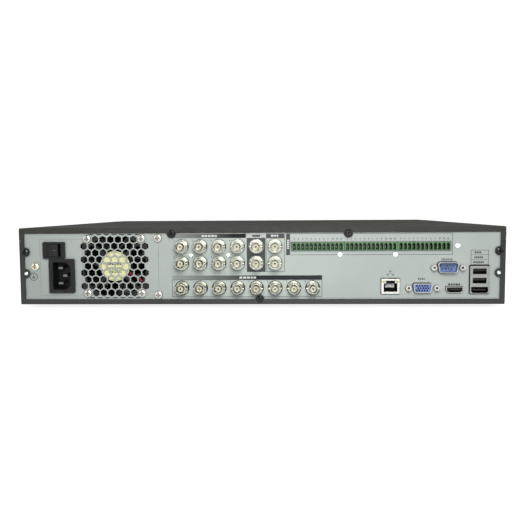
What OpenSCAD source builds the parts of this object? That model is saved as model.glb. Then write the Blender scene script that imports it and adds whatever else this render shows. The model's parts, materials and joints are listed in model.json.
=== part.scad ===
// Rack-width video recorder: sheet-metal case, rear connector panel, operator's front.
// X runs across the case, Y from the connector panel (-Y) to the front bezel (+Y), Z up.
// Modules are drawn in the rear frame: y = 0 on the rear flange's face, z = 0 under the floor.

/* [Case] */
// Width over the side walls
body_w = 440; // [439:0.5:442]
// Height from the floor's underside to the cover's top
body_h = 70; // [70:0.5:72]
// Depth of the sheet-metal case
case_d = 345; // [345:1:380]
// Depth of the front bezel
bezel_d = 35; // [34:1:45]
// Thickness of the sheet steel
sheet_t = 1; // [0.8:0.1:1]
// Width of the rear flange at the sides
side_flange_w = 4.7; // [4:0.1:6]
// Height of the rear flange along the cover and the floor
lip_h = 5; // [4:0.5:5]
// Height of the seam between cover and tray
seam_z = 58.3; // [57:0.1:60]
// Height of the rubber feet
foot_h = 4.5; // [3:0.5:8]

/* [Rear connectors] */
// Distance between neighbouring coaxial sockets
bnc_pitch = 17; // [16.5:0.1:17.2]
// Place of the first column of coaxial sockets
bnc_x0 = -71; // [-72:0.5:-70]
// How far the coaxial barrels stand out of the flange's face
bnc_out = 10; // [8:0.5:12]
// Outer radius of a coaxial barrel
bnc_r = 4.8; // [4.7:0.05:4.9]
// Pitch of the plug-in terminal ways
terminal_pitch = 3.81; // [3.5:0.01:3.81]
// Ways in each terminal block
terminal_ways = 12; // [8:1:12]
// Distance between the two posts of a D-shaped connector
dsub_posts = 24.99; // [24.9:0.01:25.1]

/* [Vent and fan] */
// Side of the square fan
fan_w = 60; // [59:0.5:60]
// Depth of the fan
fan_d = 25; // [20:1:25]
// Distance between the fan's screws
fan_screw_pitch = 50; // [49:0.5:51]
// Distance between neighbouring vent holes
vent_pitch = 7.05; // [6.9:0.05:7.1]
// Width of a vent hole across its flats
vent_hole = 6; // [5.5:0.1:6.2]

/* [Front controls] */
// How far a key travels
key_travel = 1.2; // [0.8:0.1:1.4]
// How far a key stands out of the bezel
key_out = 1.6; // [1.3:0.1:2.5]
// Gap round a key
key_gap = 0.35; // [0.3:0.05:0.5]
// Radius of the jog dial
dial_r = 17; // [15:0.5:17]
// How far the jog dial stands out of the bezel
dial_out = 12; // [8:0.5:14]
// Outer radius of the shuttle ring
ring_r = 24; // [23.5:0.1:25]

/* [Hidden] */
$fn = 48;

half_w = body_w / 2;
front_y = case_d + bezel_d;
rear_y = bnc_out - (bnc_out + front_y + dial_out) / 2;
inner_x = half_w - side_flange_w;
inner_z = body_h - lip_h;
eps = 0.01;

// Grey panels, just inside the flange
panel_y = 1.1;
panel_t = 1;
panel_back = panel_y + panel_t;
panel_edge = half_w - 1.4;
panel_seam_x = -92.2;
seam_gap = 0.14;

// Holes along the flange: [x, z]
lobe_r = 4.2;
top_lobes = [[-80, 64.5], [80, 64.5]];
bottom_lobe = [0, 4.7];
side_lobe_x = 214.7;
side_screw_z = 48;
side_rivet_z = 28.3;
cover_screw_points = concat(top_lobes, [bottom_lobe], [for (s = [-1, 1]) [s * side_lobe_x, side_screw_z]]);
flange_rivet_points = [for (s = [-1, 1]) [s * side_lobe_x, side_rivet_z]];
panel_rivet_points = [[-62.5, 44.9], [-28.5, 44.9], [72.6, 45], [122.4, 45], [177.7, 52.6]];
screw_hole_r = 1.7;
seam_screw_points = [[panel_seam_x - 0.4, 60.4], [panel_seam_x - 0.4, 8.45]];

// Fan and vent
fan_x = -132.6;
fan_z = 34.9;
fan_y = panel_back + 0.1;
fan_screw_points = [for (sx = [-1, 1], sz = [-1, 1])
    [fan_x + sx * fan_screw_pitch / 2, fan_z + sz * fan_screw_pitch / 2]];
vent_row = vent_pitch * sin(60);
vent_counts = [6, 9, 8, 9, 8, 9, 8, 9, 6];
rotor_shaft_r = 1.5;

// Mains switch and inlet
switch_x = -187.95;
switch_z = 49.75;
rocker_pivot_y = 3.7;
rocker_tilt = -10;
inlet_x = -181;
inlet_z = 26.3;
earth_point = [-206, 34.7];

// Coaxial sockets
audio_columns = 6;
video_columns = 8;
audio_lower_z = 37.6;
audio_upper_z = 52.7;
video_z = 14.85;
audio_points = [for (z = [audio_lower_z, audio_upper_z], i = [0 : audio_columns - 1])
    [bnc_x0 + i * bnc_pitch, z]];
video_points = [for (i = [0 : video_columns - 1]) [bnc_x0 + i * bnc_pitch, video_z]];
bnc_points = concat(audio_points, video_points);

// Terminal blocks
terminal_block_x = [52.4, 100.2, 147.9];
terminal_block_w = terminal_ways * terminal_pitch + 1.6;
terminal_z0 = 48.7;
terminal_h = 7.5;

// Other sockets: centres on the panel
rj45_c = [117.9, 16.2];
rj45_size = [16.2, 13.6];
vga_c = [146.2, 14.8];
serial_c = [168.7, 33.1];
hdmi_c = [175.2, 12.9];
usb_c = [197.1, 22.05];
usb_size = [16.9, 24.9];
usb_ports = [[0, 7.55, 12.1, 5], [0, -0.8, 12.1, 4.8], [0.15, -9.2, 15, 5.4]];
usb_combo_cut = 1.3;
dsub_centres = [vga_c, serial_c];

// Boards: height of each one's top face
board_t = 1.6;
main_board_z = 8.2;
io_board_z = 27.8;
alarm_board_z = 48;

// Front controls: [x, z], seen from the rear frame
face_t = 2.5;
face_back = front_y - face_t;
front_board_y = face_back - 11.5;
dial_point = [-158, 35];
window_c = [82, 35];
window_size = [170, 40];
pad_point = [-88, 35];
pad_reach = 15;
power_point = [196, 35];
small_key_x = -48;

// ---- placing helpers ----

// Put a piece drawn in the rear frame into the part's frame
module place() {
    translate([0, rear_y, foot_h]) children();
}

// Extrude a drawing of the X-Z plane from depth y0 to depth y1
module slab(y0, y1) {
    translate([0, y1, 0]) rotate([90, 0, 0]) linear_extrude(y1 - y0) children();
}

// Stand a piece on the plane of depth y with its +Z out of the rear
module outward(p, y = 0) {
    translate([p[0], y, p[1]]) rotate([90, 0, 0]) children();
}

// Stand a piece on the plane of depth y with its +Z out of the front
module forward(p, y = 0) {
    translate([p[0], y, p[1]]) rotate([-90, 0, 0]) children();
}

// Both signs of X
module both_sides() {
    children();
    mirror([1, 0, 0]) children();
}

// Rectangle with round corners, centred
module rounded(w, h, r) {
    square([w - 2 * r, h], center = true);
    square([w, h - 2 * r], center = true);
    for (sx = [-1, 1], sy = [-1, 1])
        translate([sx * (w / 2 - r), sy * (h / 2 - r)]) circle(r);
}

// Round holes at a list of points
module holes(points, r) {
    for (p = points) translate(p) circle(r);
}

// Points along an arc from angle a0 to angle a1
function arc(c, r, a0, a1) = [for (i = [0 : 6]) let (a = a0 + (a1 - a0) * i / 6) c + r * [cos(a), sin(a)]];

// D-shaped outline, wider at the top, with round corners
module d_outline(w, h, r) {
    slant = 10;
    hc = h / 2 - r;
    a = w / 2 - r;
    b = a - 2 * hc * tan(slant);
    half = concat(arc([a, hc], r, 90, -slant), arc([b, -hc], r, -slant, -90));
    polygon(concat(half, [for (i = [len(half) - 1 : -1 : 0]) [-half[i][0], half[i][1]]]));
}

// Pan-head screw with a cross recess: seat at z = 0, shank below it
module pan_screw(head_r, head_h, shank_r, shank_l) {
    slot_w = head_r * 0.3;
    slot_l = head_r * 1.15;
    difference() {
        rotate_extrude()
            polygon([[0, -shank_l], [shank_r, -shank_l], [shank_r, 0], [head_r, 0],
                [head_r, head_h * 0.4], [head_r * 0.9, head_h * 0.75], [head_r * 0.62, head_h],
                [0, head_h]]);
        for (turn = [0, 90])
            rotate(turn)
                translate([-slot_l / 2, -slot_w / 2, head_h * 0.35]) cube([slot_l, slot_w, head_h]);
    }
}

// Domed rivet: seat at z = 0, shank below it
module rivet(head_r, head_h, shank_r, shank_l) {
    rotate_extrude()
        polygon([[0, -shank_l], [shank_r, -shank_l], [shank_r, 0], [head_r, 0],
            [head_r * 0.92, head_h * 0.5], [head_r * 0.6, head_h], [0, head_h]]);
}

// ---- case ----

// Half of the tray's cross-section: floor, wall and the strip that the cover slips over
module tray_half() {
    polygon([[0, 0], [half_w - 1, 0], [half_w - 0.3, 0.3], [half_w, 1], [half_w, seam_z - 0.1],
        [half_w - sheet_t, seam_z - 0.1], [half_w - sheet_t, sheet_t], [0, sheet_t]]);
}

module tray_strip() {
    polygon([[half_w - 2.2, 50], [half_w - sheet_t + eps, 50], [half_w - sheet_t + eps, seam_z - 0.1],
        [half_w - 1.2, seam_z - 0.1], [half_w - 1.2, 66], [half_w - 2.2, 66]]);
}

module side_vents() {
    for (i = [0 : 13])
        translate([half_w - 3, 120 + i * 9, 14]) cube([6, 3.2, 30]);
}

module rack_ear_holes() {
    for (dy = [-15, 15], dz = [-15, 15])
        translate([half_w - 3, 310 + dy, 29 + dz]) rotate([0, 90, 0]) cylinder(r = 1.65, h = 6);
}

module bottom_chassis() {
    boss_points = [[-80, 20], [60, 20], [180, 20], [-80, 160], [60, 160], [180, 160]];
    color("#3a3d3c") place() difference() {
        union() {
            slab(0, case_d) both_sides() tray_half();
            slab(3, case_d - 3) both_sides() tray_strip();
            slab(0, sheet_t) {
                translate([-half_w + 1, 0.5]) square([body_w - 2, lip_h - 0.8]);
                both_sides() translate([inner_x, 0.5])
                    square([side_flange_w, seam_z - 0.6]);
                for (p = concat([bottom_lobe], flange_rivet_points)) translate(p) circle(lobe_r);
                both_sides() translate([side_lobe_x, side_screw_z]) circle(lobe_r);
            }
            slab(case_d - sheet_t, case_d) difference() {
                translate([-half_w + 3, 0.5]) square([body_w - 6, 65]);
                for (x = [-120, 40]) translate([x, 20]) square([70, 30]);
            }
            slab(panel_back + 0.1, panel_back + 1.1)
                translate([panel_seam_x - 5, 0.5]) square([10, 64]);
            for (p = boss_points)
                translate([p[0], p[1], sheet_t / 2])
                    cylinder(r = 3, h = main_board_z - board_t - sheet_t / 2 - 0.05);
        }
        slab(-1, 2) {
            holes(concat([bottom_lobe], [for (s = [-1, 1]) [s * side_lobe_x, side_screw_z]]),
                screw_hole_r);
            holes(flange_rivet_points, 2.15);
        }
        slab(panel_back - 0.5, panel_back + 2) holes(seam_screw_points, screw_hole_r);
        both_sides() side_vents();
        both_sides() rack_ear_holes();
    }
}

// Cover's outline with rolled top corners, cut level with the seam
module cover_outline(inset, r) {
    w = body_w - 2 * inset;
    intersection() {
        translate([0, body_h / 2 - inset]) rounded(w, body_h, r);
        translate([-half_w, seam_z + 0.1]) square([body_w, body_h]);
    }
}

module top_cover() {
    slit_w = 0.35;
    color("#5f5d52") place() difference() {
        union() {
            slab(0, case_d - 0.2) difference() {
                cover_outline(0, 1.5);
                cover_outline(sheet_t, 0.6);
            }
            slab(0, sheet_t) {
                difference() {
                    cover_outline(0, 1.5);
                    translate([-inner_x, 0]) square([2 * inner_x, inner_z]);
                }
                for (p = top_lobes) translate(p) circle(lobe_r);
            }
        }
        slab(-1, 2) holes(top_lobes, screw_hole_r);
        both_sides() translate([inner_x, -1, inner_z]) rotate([0, -45, 0])
            translate([-0.5, 0, -slit_w / 2]) cube([5, 3, slit_w]);
    }
}

module cover_screws() {
    color("#1c1d1e") place()
        for (p = cover_screw_points) outward(p, -0.02) pan_screw(3.3, 1.9, 1.45, 6);
}

module rubber_feet() {
    color("#202020") translate([0, rear_y, 0])
        for (x = [-165, 165], y = [62, 300])
            translate([x, y, 0]) difference() {
                rotate_extrude()
                    polygon([[0, 0], [11, 0], [11.6, 0.6], [12.5, foot_h], [0, foot_h]]);
                translate([0, 0, -1]) cylinder(r = 4, h = 3);
            }
}

// ---- rear panels ----

// Hexagonal vent hole with a point up
module vent_hex(x, z) {
    translate([x, z]) rotate(30) circle(r = vent_hole / sqrt(3), $fn = 6);
}

// Honeycomb of nine full rows, with a cut-off row above and below
module vent_holes() {
    rows = len(vent_counts);
    mid = (rows - 1) / 2;
    for (i = [0 : rows - 1], j = [0 : vent_counts[i] - 1])
        vent_hex(fan_x + (j - (vent_counts[i] - 1) / 2) * vent_pitch, fan_z + (mid - i) * vent_row);
    cut_z = mid * vent_row + 4.1;
    for (s = [-1, 1], j = [0 : 6])
        translate([fan_x + (j - 3) * vent_pitch, fan_z])
            polygon([[-1.6, s * cut_z], [1.6, s * cut_z], [2.7, s * (cut_z + 0.9)],
                [-2.7, s * (cut_z + 0.9)]]);
}

module switch_cutout() {
    translate([switch_x, switch_z]) square([18.9, 13.6], center = true);
}

module inlet_cutout() {
    translate([inlet_x, inlet_z]) square([20.6, 28.8], center = true);
}

module power_panel() {
    color("#aab2b0") place() difference() {
        slab(panel_y, panel_back) difference() {
            translate([-panel_edge, sheet_t + 0.2])
                square([panel_edge + panel_seam_x - seam_gap / 2, body_h - 2.7]);
            vent_holes();
            switch_cutout();
            inlet_cutout();
            holes(fan_screw_points, 2.3);
            holes(seam_screw_points, screw_hole_r);
            holes([earth_point], 2.1);
            holes(cover_screw_points, screw_hole_r);
            holes(flange_rivet_points, 1.3);
        }
        slab(panel_y - 1, panel_y + 0.2) difference() {
            translate([-201.5, 7.5]) square([40, 52.5]);
            translate([-200.9, 8.1]) square([38.8, 51.3]);
        }
    }
}

module io_panel() {
    color("#b4bcb9") place() slab(panel_y, panel_back) difference() {
        translate([panel_seam_x + seam_gap / 2, sheet_t + 0.2])
            square([panel_edge - panel_seam_x - seam_gap / 2, body_h - 2.7]);
        holes(audio_points, 6.65);
        holes(video_points, 6.8);
        translate([28.3, terminal_z0 - 0.3]) square([143.6, terminal_h + 0.6]);
        translate(rj45_c) square(rj45_size + [1, 1.4], center = true);
        translate(vga_c) d_outline(18, 9.6, 2.8);
        translate(serial_c) d_outline(19.6, 11, 3.1);
        holes([for (c = dsub_centres, s = [-1, 1]) c + [s * dsub_posts / 2, 0]], 1.8);
        translate(hdmi_c) hdmi_outline(-0.5);
        translate(usb_c) square(usb_size + [1.2, 1.6], center = true);
        holes(seam_screw_points, screw_hole_r);
        holes(panel_rivet_points, 1.3);
        holes(cover_screw_points, screw_hole_r);
        holes(flange_rivet_points, 1.3);
    }
}

module panel_screws() {
    color("#d8d8d2") place() {
        for (p = fan_screw_points) outward(p, panel_y) pan_screw(3.55, 1.9, 2.05, 9);
        for (p = seam_screw_points) outward(p, panel_y) pan_screw(3.7, 2.1, 1.55, 7);
    }
}

module earth_screw() {
    color("#cfc7a4") place() outward(earth_point, panel_y) {
        pan_screw(3.6, 1.9, 1.95, 7);
        translate([0, 0, -2.6]) difference() {
            cylinder(r = 3.8, h = 1.4, $fn = 6);
            translate([0, 0, -1]) cylinder(r = 1.95, h = 4);
        }
    }
}

module rivets() {
    color("#dcdcd6") place() {
        for (p = panel_rivet_points) outward(p, panel_y) rivet(2.35, 0.9, 1.2, 1.2);
        for (p = flange_rivet_points) outward(p, panel_y) rivet(1.95, 0.8, 1.2, 2);
    }
}

// ---- fan ----

module fan_plate(y) {
    translate([fan_x, y, fan_z]) slab(0, 4) difference() {
        rounded(fan_w, fan_w, 4);
        circle(28.8);
    }
}

module fan_frame() {
    color("#26282a") place() difference() {
        union() {
            fan_plate(fan_y);
            fan_plate(fan_y + fan_d - 4);
            translate([fan_x, fan_y, fan_z]) {
                slab(3, fan_d - 3) intersection() {
                    difference() {
                        circle(30.6);
                        circle(28.8);
                    }
                    square(fan_w, center = true);
                }
                slab(3, fan_d - 3) for (sx = [-1, 1], sz = [-1, 1])
                    translate([sx, sz] * fan_screw_pitch / 2) circle(3.8);
                slab(0.6, 4) circle(14.2);
                slab(1, 4) for (turn = [45 : 90 : 315]) rotate(turn)
                    translate([13, -1.6]) square([17, 3.2]);
                slab(0.6, 11) circle(4);
            }
        }
        translate([fan_x, fan_y, fan_z]) slab(2, 12) circle(rotor_shaft_r + 0.05);
        slab(fan_y - 1, fan_y + fan_d + 1) holes(fan_screw_points, 2.15);
    }
}

module fan_rotor() {
    blades = 7;
    hub_y = 5;
    hub_end = fan_d - 1.5;
    color("#1e2021") place() translate([fan_x, fan_y, fan_z]) {
        difference() {
            slab(hub_y, hub_end) circle(15);
            slab(hub_y - 1, hub_end - 2) circle(13.2);
        }
        slab(3, hub_end - 1) circle(rotor_shaft_r);
        intersection() {
            slab(hub_y + 0.5, hub_end - 0.5) difference() {
                circle(28.2);
                circle(14.8);
            }
            for (k = [0 : blades - 1])
                rotate([0, k * 360 / blades, 0]) translate([21, 13.8, 0]) rotate([48, 0, 0])
                    cube([16, 1.4, 24], center = true);
        }
    }
}

// A wire through the given points: one rounded run between each two
module wire(points, r) {
    for (i = [0 : len(points) - 2]) hull() {
        translate(points[i]) sphere(r, $fn = 10);
        translate(points[i + 1]) sphere(r, $fn = 10);
    }
}

module fan_cable() {
    start = [fan_x + fan_w / 2 + 1.2, fan_y + 8, fan_z - 12];
    color("#b03030") place()
        for (dz = [0, 2.4])
            translate(start + [0, 0, dz]) wire([[0, 0, 0], [4, 6, -2], [5, 26, -6]], 0.8);
}

// ---- mains switch and inlet ----

module power_switch_body() {
    color("#232526") place() difference() {
        union() {
            slab(-0.9, panel_y) translate([switch_x, switch_z]) rounded(20.5, 15.1, 1);
            slab(panel_y - eps, 15) translate([switch_x, switch_z]) square([18.5, 13.2], center = true);
            for (dx = [-5, 0, 5])
                slab(14.9, 22) translate([switch_x + dx, switch_z]) square([0.8, 6.2], center = true);
        }
        slab(-2, 11) translate([switch_x, switch_z]) square([12.7, 11.7], center = true);
        translate([switch_x, rocker_pivot_y, switch_z]) cylinder(r = 1.25, h = 12.8, center = true);
    }
}

// Rocker drawn level: a shallow V whose ends clear the well as it tips
module power_switch_rocker() {
    profile = [[-5.2, -5.5], [0, -4.6], [5.2, -5.5], [5.95, -1], [4, 3], [-4, 3], [-5.95, -1]];
    color("#191a1b") place() translate([switch_x, rocker_pivot_y, switch_z]) rotate(rocker_tilt) {
        linear_extrude(11.1, center = true) polygon(profile);
        cylinder(r = 1.2, h = 12.6, center = true);
    }
}

// Inlet's cavity: chamfered on the earth pin's side
module inlet_cavity() {
    polygon([[-8.2, -12.45], [4.2, -12.45], [8.2, -8.6], [8.2, 8.6], [4.2, 12.45], [-8.2, 12.45]]);
}

module ac_inlet_body() {
    color("#242627") place() translate([inlet_x, 0, inlet_z]) difference() {
        union() {
            slab(-1.4, panel_y) rounded(23.6, 31, 1.2);
            slab(panel_y - eps, 18) square([20, 28.2], center = true);
        }
        slab(-2, 16) inlet_cavity();
        slab(15, 19) for (p = [[-2, 7], [-2, -7], [2, 0]]) translate(p) square([4.1, 2.1], center = true);
    }
}

module ac_inlet_pins() {
    color("#d9d9d4") place() translate([inlet_x, 0, inlet_z])
        for (p = [[-2, 7], [-2, -7], [2, 0]])
            slab(2.4, 25) translate(p) square([4, 2], center = true);
}

// ---- coaxial sockets ----

// Barrel with two bayonet lugs; z is the distance out of the flange's face
module bnc_shell(collar_r, collar_out, flat_w, block_down, block_up) {
    bore_r = bnc_r - 0.72;
    floor_z = bnc_out - 9;
    block_z = -panel_back - 0.3;
    difference() {
        union() {
            rotate_extrude()
                polygon([[0, block_z - 1], [bnc_r, block_z - 1], [bnc_r, bnc_out - 0.3],
                    [bnc_r - 0.25, bnc_out], [0, bnc_out]]);
            intersection() {
                translate([0, 0, block_z - 1]) cylinder(r = collar_r, h = collar_out - block_z + 1);
                translate([0, 0, block_z]) cube([flat_w, 20, 40], center = true);
            }
            translate([0, 0, bnc_out - 5.2]) rotate([0, 90, 0])
                cylinder(r = 1, h = 2 * bnc_r + 2.2, center = true);
            translate([-7.1, -block_down, block_z - 12]) cube([14.2, block_down + block_up, 12]);
        }
        translate([0, 0, floor_z]) cylinder(r = bore_r, h = 20);
        translate([0, 0, -9]) cylinder(r = 2.45, h = 20);
    }
}

module audio_bnc_shells() {
    color("#c9c6b4") place() for (p = audio_points) outward(p) {
        down = p[1] == audio_lower_z ? audio_lower_z - io_board_z : 7.4;
        bnc_shell(6.3, 0.6, 11.4, down, 7.1);
    }
}

module video_bnc_shells() {
    color("#c9c6b4") place() for (p = video_points) outward(p)
        bnc_shell(6, -panel_back, 2 * bnc_r + 0.6, video_z - main_board_z, 7.1);
}

module bnc_insulators() {
    color("#e6dfc6") place() for (p = bnc_points) outward(p) difference() {
        translate([0, 0, -8.9]) cylinder(r = 2.4, h = bnc_out + 7.4);
        translate([0, 0, -10]) cylinder(r = 1.15, h = 16.5);
        cylinder(r = 0.8, h = 12);
    }
}

module bnc_contacts() {
    color("#b79a54") place() for (p = bnc_points) outward(p) difference() {
        translate([0, 0, -8.8]) cylinder(r = 1.1, h = bnc_out + 5);
        translate([0, 0, bnc_out - 8]) cylinder(r = 0.7, h = 10);
    }
}

// ---- plug-in terminal blocks ----

module terminal_block(number) {
    x = terminal_block_x[number - 1];
    first = x - (terminal_ways - 1) * terminal_pitch / 2;
    color("#7fae7a") place() difference() {
        slab(-0.4, 12) translate([x - terminal_block_w / 2, terminal_z0])
            square([terminal_block_w, terminal_h]);
        slab(-1, 7.5) for (i = [0 : terminal_ways - 1]) translate([first + i * terminal_pitch, 0]) {
            translate([-1.5, terminal_z0 + 0.6]) square([3, 5.2]);
            translate([-0.8, terminal_z0 + 0.6]) square([1.6, 6.1]);
        }
        slab(7, 13) for (i = [0 : terminal_ways - 1])
            translate([first + i * terminal_pitch, terminal_z0 + 2.9]) square([1.1, 1.1], center = true);
    }
}

module terminal_block_1() { terminal_block(1); }
module terminal_block_2() { terminal_block(2); }
module terminal_block_3() { terminal_block(3); }

module terminal_pins() {
    color("#d6d3c0") place() for (x = terminal_block_x, i = [0 : terminal_ways - 1]) {
        px = x + (i - (terminal_ways - 1) / 2) * terminal_pitch;
        slab(4, 13.4) translate([px, terminal_z0 + 2.9]) square([1, 1], center = true);
        slab(12.4, 13.4) translate([px - 0.5, alarm_board_z + 0.05])
            square([1, terminal_z0 + 2.5 - alarm_board_z]);
    }
}

// ---- network socket ----

module rj45_opening(grow) {
    translate([0, -1.05]) square([11.8 + grow, 7.3 + grow], center = true);
    translate([0, 3.7]) square([7.6 + grow, 2.6 + grow], center = true);
}

module rj45_windows(w, h) {
    for (s = [-1, 1]) translate([s * 5.9, 4.2]) square([w, h], center = true);
}

module rj45_shell() {
    color("#cfd1d0") place() translate([rj45_c[0], 0, rj45_c[1]]) difference() {
        slab(-0.6, 16) square(rj45_size, center = true);
        slab(-0.2, 17) square(rj45_size - [0.8, 0.8], center = true);
        slab(-1, 0) {
            rj45_opening(0.4);
            rj45_windows(2.9, 1.9);
        }
    }
}

module rj45_insert() {
    color("#1d1f20") place() translate([rj45_c[0], 0, rj45_c[1]]) difference() {
        slab(-0.15, 15.8) square(rj45_size - [0.9, 0.9], center = true);
        slab(-1, 13) rj45_opening(0);
        slab(-1, 3) rj45_windows(2.8, 1.8);
    }
}

module rj45_leds() {
    color("#b7c86a") place() translate([rj45_c[0], 0, rj45_c[1]])
        slab(-0.5, 2.9) rj45_windows(2.7, 1.7);
}

module rj45_contacts() {
    color("#c9a44c") place() translate([rj45_c[0], 0, rj45_c[1]])
        for (i = [0 : 7]) translate([(i - 3.5) * 1.02, 4, -4.3]) rotate([-76, 0, 0])
            cylinder(r = 0.22, h = 9);
}

// ---- D-shaped sockets ----

module dsub_shell(c, w, h, r, tube_y) {
    place() translate([c[0], 0, c[1]]) difference() {
        union() {
            slab(tube_y, 3) d_outline(w, h, r);
            slab(panel_back + 0.1, 3) rounded(30.8, 12.4, 1.5);
        }
        slab(tube_y - 1, 4) d_outline(w - 0.9, h - 0.9, r - 0.4);
        slab(0, 4) for (s = [-1, 1]) translate([s * dsub_posts / 2, 0]) circle(1.6);
    }
}

module dsub_insert(c, w, h, r, face_y) {
    slab(face_y, 3.2) translate(c) d_outline(w, h, r);
    slab(3.1, 12) translate(c) square([30.8, 12.4], center = true);
}

function vga_holes() = [for (row = [-1 : 1], i = [-2 : 2])
    vga_c + [(i + (row == 0 ? 0.25 : -0.25)) * 2.29, row * 1.98]];
function serial_pin_points() = concat([for (i = [-2 : 2]) serial_c + [i * 2.77, 1.42]],
    [for (i = [-1.5 : 1.5]) serial_c + [i * 2.77, -1.42]]);

module vga_shell() { color("#d4d4d0") dsub_shell(vga_c, 16.4, 8, 2, -3.9); }

module vga_insert() {
    color("#6f85d0") place() difference() {
        dsub_insert(vga_c, 15.4, 7, 1.5, -3.3);
        slab(-4, 4) holes(vga_holes(), 0.78);
        slab(3, 13) holes([for (s = [-1, 1]) vga_c + [s * dsub_posts / 2, 0]], 1.6);
    }
}

module serial_shell() { color("#d4d4d0") dsub_shell(serial_c, 18.1, 9.5, 2.4, -3.9); }

module serial_insert() {
    color("#5565a5") place() difference() {
        dsub_insert(serial_c, 17.1, 8.5, 1.9, 1.8);
        slab(1, 14) holes(serial_pin_points(), 0.52);
        slab(3, 13) holes([for (s = [-1, 1]) serial_c + [s * dsub_posts / 2, 0]], 1.6);
    }
}

module serial_pins() {
    color("#d8cfa8") place() slab(-2, 12) holes(serial_pin_points(), 0.5);
}

module jack_screws() {
    color("#cfcfca") place()
        for (c = dsub_centres, s = [-1, 1]) outward(c + [s * dsub_posts / 2, 0], panel_y) difference() {
            union() {
                cylinder(r = 2.65, h = 5, $fn = 6);
                translate([0, 0, -8]) cylinder(r = 1.42, h = 8.5);
            }
            cylinder(r = 1.18, h = 6);
        }
}

// ---- video and data sockets ----

module hdmi_outline(inset) {
    w = 7.5 - inset;
    h = 2.8 - inset;
    polygon([[-w, h], [w, h], [w, -0.8], [w - 2, -h], [2 - w, -h], [-w, -0.8]]);
}

module hdmi_shell() {
    color("#c4c6c5") place() translate([hdmi_c[0], 0, hdmi_c[1]]) {
        difference() {
            slab(-0.6, 12) hdmi_outline(0);
            slab(-1, 11) hdmi_outline(0.45);
        }
    }
}

module hdmi_tongue() {
    color("#26282a") place() translate([hdmi_c[0], 0, hdmi_c[1]])
        slab(0.8, 11) translate([0, 0.4]) square([11, 1.5], center = true);
}

module usb_port_outline(p, grow) {
    translate([p[0], p[1]]) square([p[2] + grow, p[3] + grow], center = true);
}

module usb_openings(grow) {
    combo = usb_ports[2];
    w = (combo[2] + grow) / 2;
    h = (combo[3] + grow) / 2;
    for (p = [usb_ports[0], usb_ports[1]]) usb_port_outline(p, grow);
    translate([combo[0], combo[1]])
        polygon([[-w, h], [w, h], [w, usb_combo_cut - h], [w - usb_combo_cut, -h],
                 [usb_combo_cut - w, -h], [-w, usb_combo_cut - h]]);
}

module usb_shell() {
    color("#c9cbca") place() translate([usb_c[0], 0, usb_c[1]]) difference() {
        slab(-0.8, 18) square(usb_size, center = true);
        slab(-0.4, 19) square(usb_size - [0.8, 0.8], center = true);
        slab(-1, 0) usb_openings(0.1);
    }
}

module usb_insert() {
    depth = 13;
    color("#1c1e1f") place() translate([usb_c[0], 0, usb_c[1]]) {
        difference() {
            slab(-0.35, 17.8) square(usb_size - [0.9, 0.9], center = true);
            slab(-1, depth) usb_openings(-0.2);
        }
        for (p = [usb_ports[0], usb_ports[1]])
            slab(1, depth + eps) translate([p[0], p[1] + 0.9]) square([11, 1.6], center = true);
        slab(1, depth + eps) translate([usb_ports[2][0], usb_ports[2][1]]) {
            square([11.5, 1.3], center = true);
            translate([-5.75, -0.65]) square([1.2, 1.9]);
        }
    }
}

// ---- inside the case ----

module board(x0, x1, y0, y1, top_z) {
    translate([x0, y0, top_z - board_t]) cube([x1 - x0, y1 - y0, board_t - 0.02]);
}

module main_board() {
    color("#1f5a3a") place() {
        board(-88, 212, 6, 170, main_board_z);
        for (x = [-10, 12, 140]) translate([x, 110, main_board_z - 0.1]) cube([16, 14, 1.8]);
        for (x = [-60, -40, 160, 175])
            translate([x, 140, main_board_z - 0.1]) cylinder(r = 4, h = 11);
    }
}

module io_board() {
    color("#1f5a3a") place() {
        board(-88, 150, 4, 74, io_board_z);
        for (x = [-60, -20, 20, 60]) translate([x, 40, io_board_z - 0.1]) cube([10, 8, 1.6]);
    }
}

module alarm_board() {
    color("#1f5a3a") place() {
        board(24, 176, 4, 60, alarm_board_z);
        for (i = [0 : 5]) translate([34 + i * 22, 28, alarm_board_z - 0.1]) cube([12, 16, 10]);
    }
}

module processor_heatsink() {
    color("#6a6f73") place() translate([62, 84, main_board_z + 1.2]) {
        cube([40, 40, 3]);
        for (i = [0 : 9]) translate([i * 4.2, 0, 2.9]) cube([1.4, 40, 11]);
    }
}

module psu_case() {
    color("#8f9493") place() translate([-212, 36, sheet_t + 0.1]) difference() {
        cube([110, 150, 46]);
        translate([1, 1, 1]) cube([108, 148, 46]);
        for (i = [0 : 11]) translate([12 + i * 7.5, -1, 12]) cube([3.5, 3, 26]);
        for (i = [0 : 11]) translate([12 + i * 7.5, 148, 12]) cube([3.5, 3, 26]);
    }
}

module psu_board() {
    color("#8a6a3a") place() translate([-212, 36, sheet_t + 0.1]) {
        translate([3, 3, 6]) cube([104, 144, 1.6]);
        translate([40, 60, 7.5]) cube([32, 28, 26]);
        translate([12, 30, 7.5]) cube([4, 60, 28]);
        translate([84, 40, 7.5]) cube([4, 60, 28]);
        for (y = [24, 46]) translate([62, y, 7.5]) cylinder(r = 9, h = 30);
        for (x = [30, 44, 58]) translate([x, 118, 7.5]) cylinder(r = 5, h = 20);
    }
}

module hard_drive(x) {
    color("#9fa3a5") place() translate([x, 190, 6]) {
        cube([101.6, 147, 20]);
        translate([3, 3, 19.9]) cube([95.6, 118, 6.2]);
        translate([3, 123, 19.9]) cube([95.6, 21, 4]);
    }
}

module hard_drive_1() { hard_drive(-95); }
module hard_drive_2() { hard_drive(25); }

module drive_bracket() {
    color("#8b908f") place() translate([-100, 188, sheet_t + 0.1]) {
        difference() {
            cube([232, 151, 4.6]);
            translate([-1, 12, -1]) cube([234, 127, 4.4]);
            for (x = [30, 150]) translate([x, 30, -1]) cube([50, 90, 8]);
        }
    }
}

// ---- operator's front ----

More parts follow.
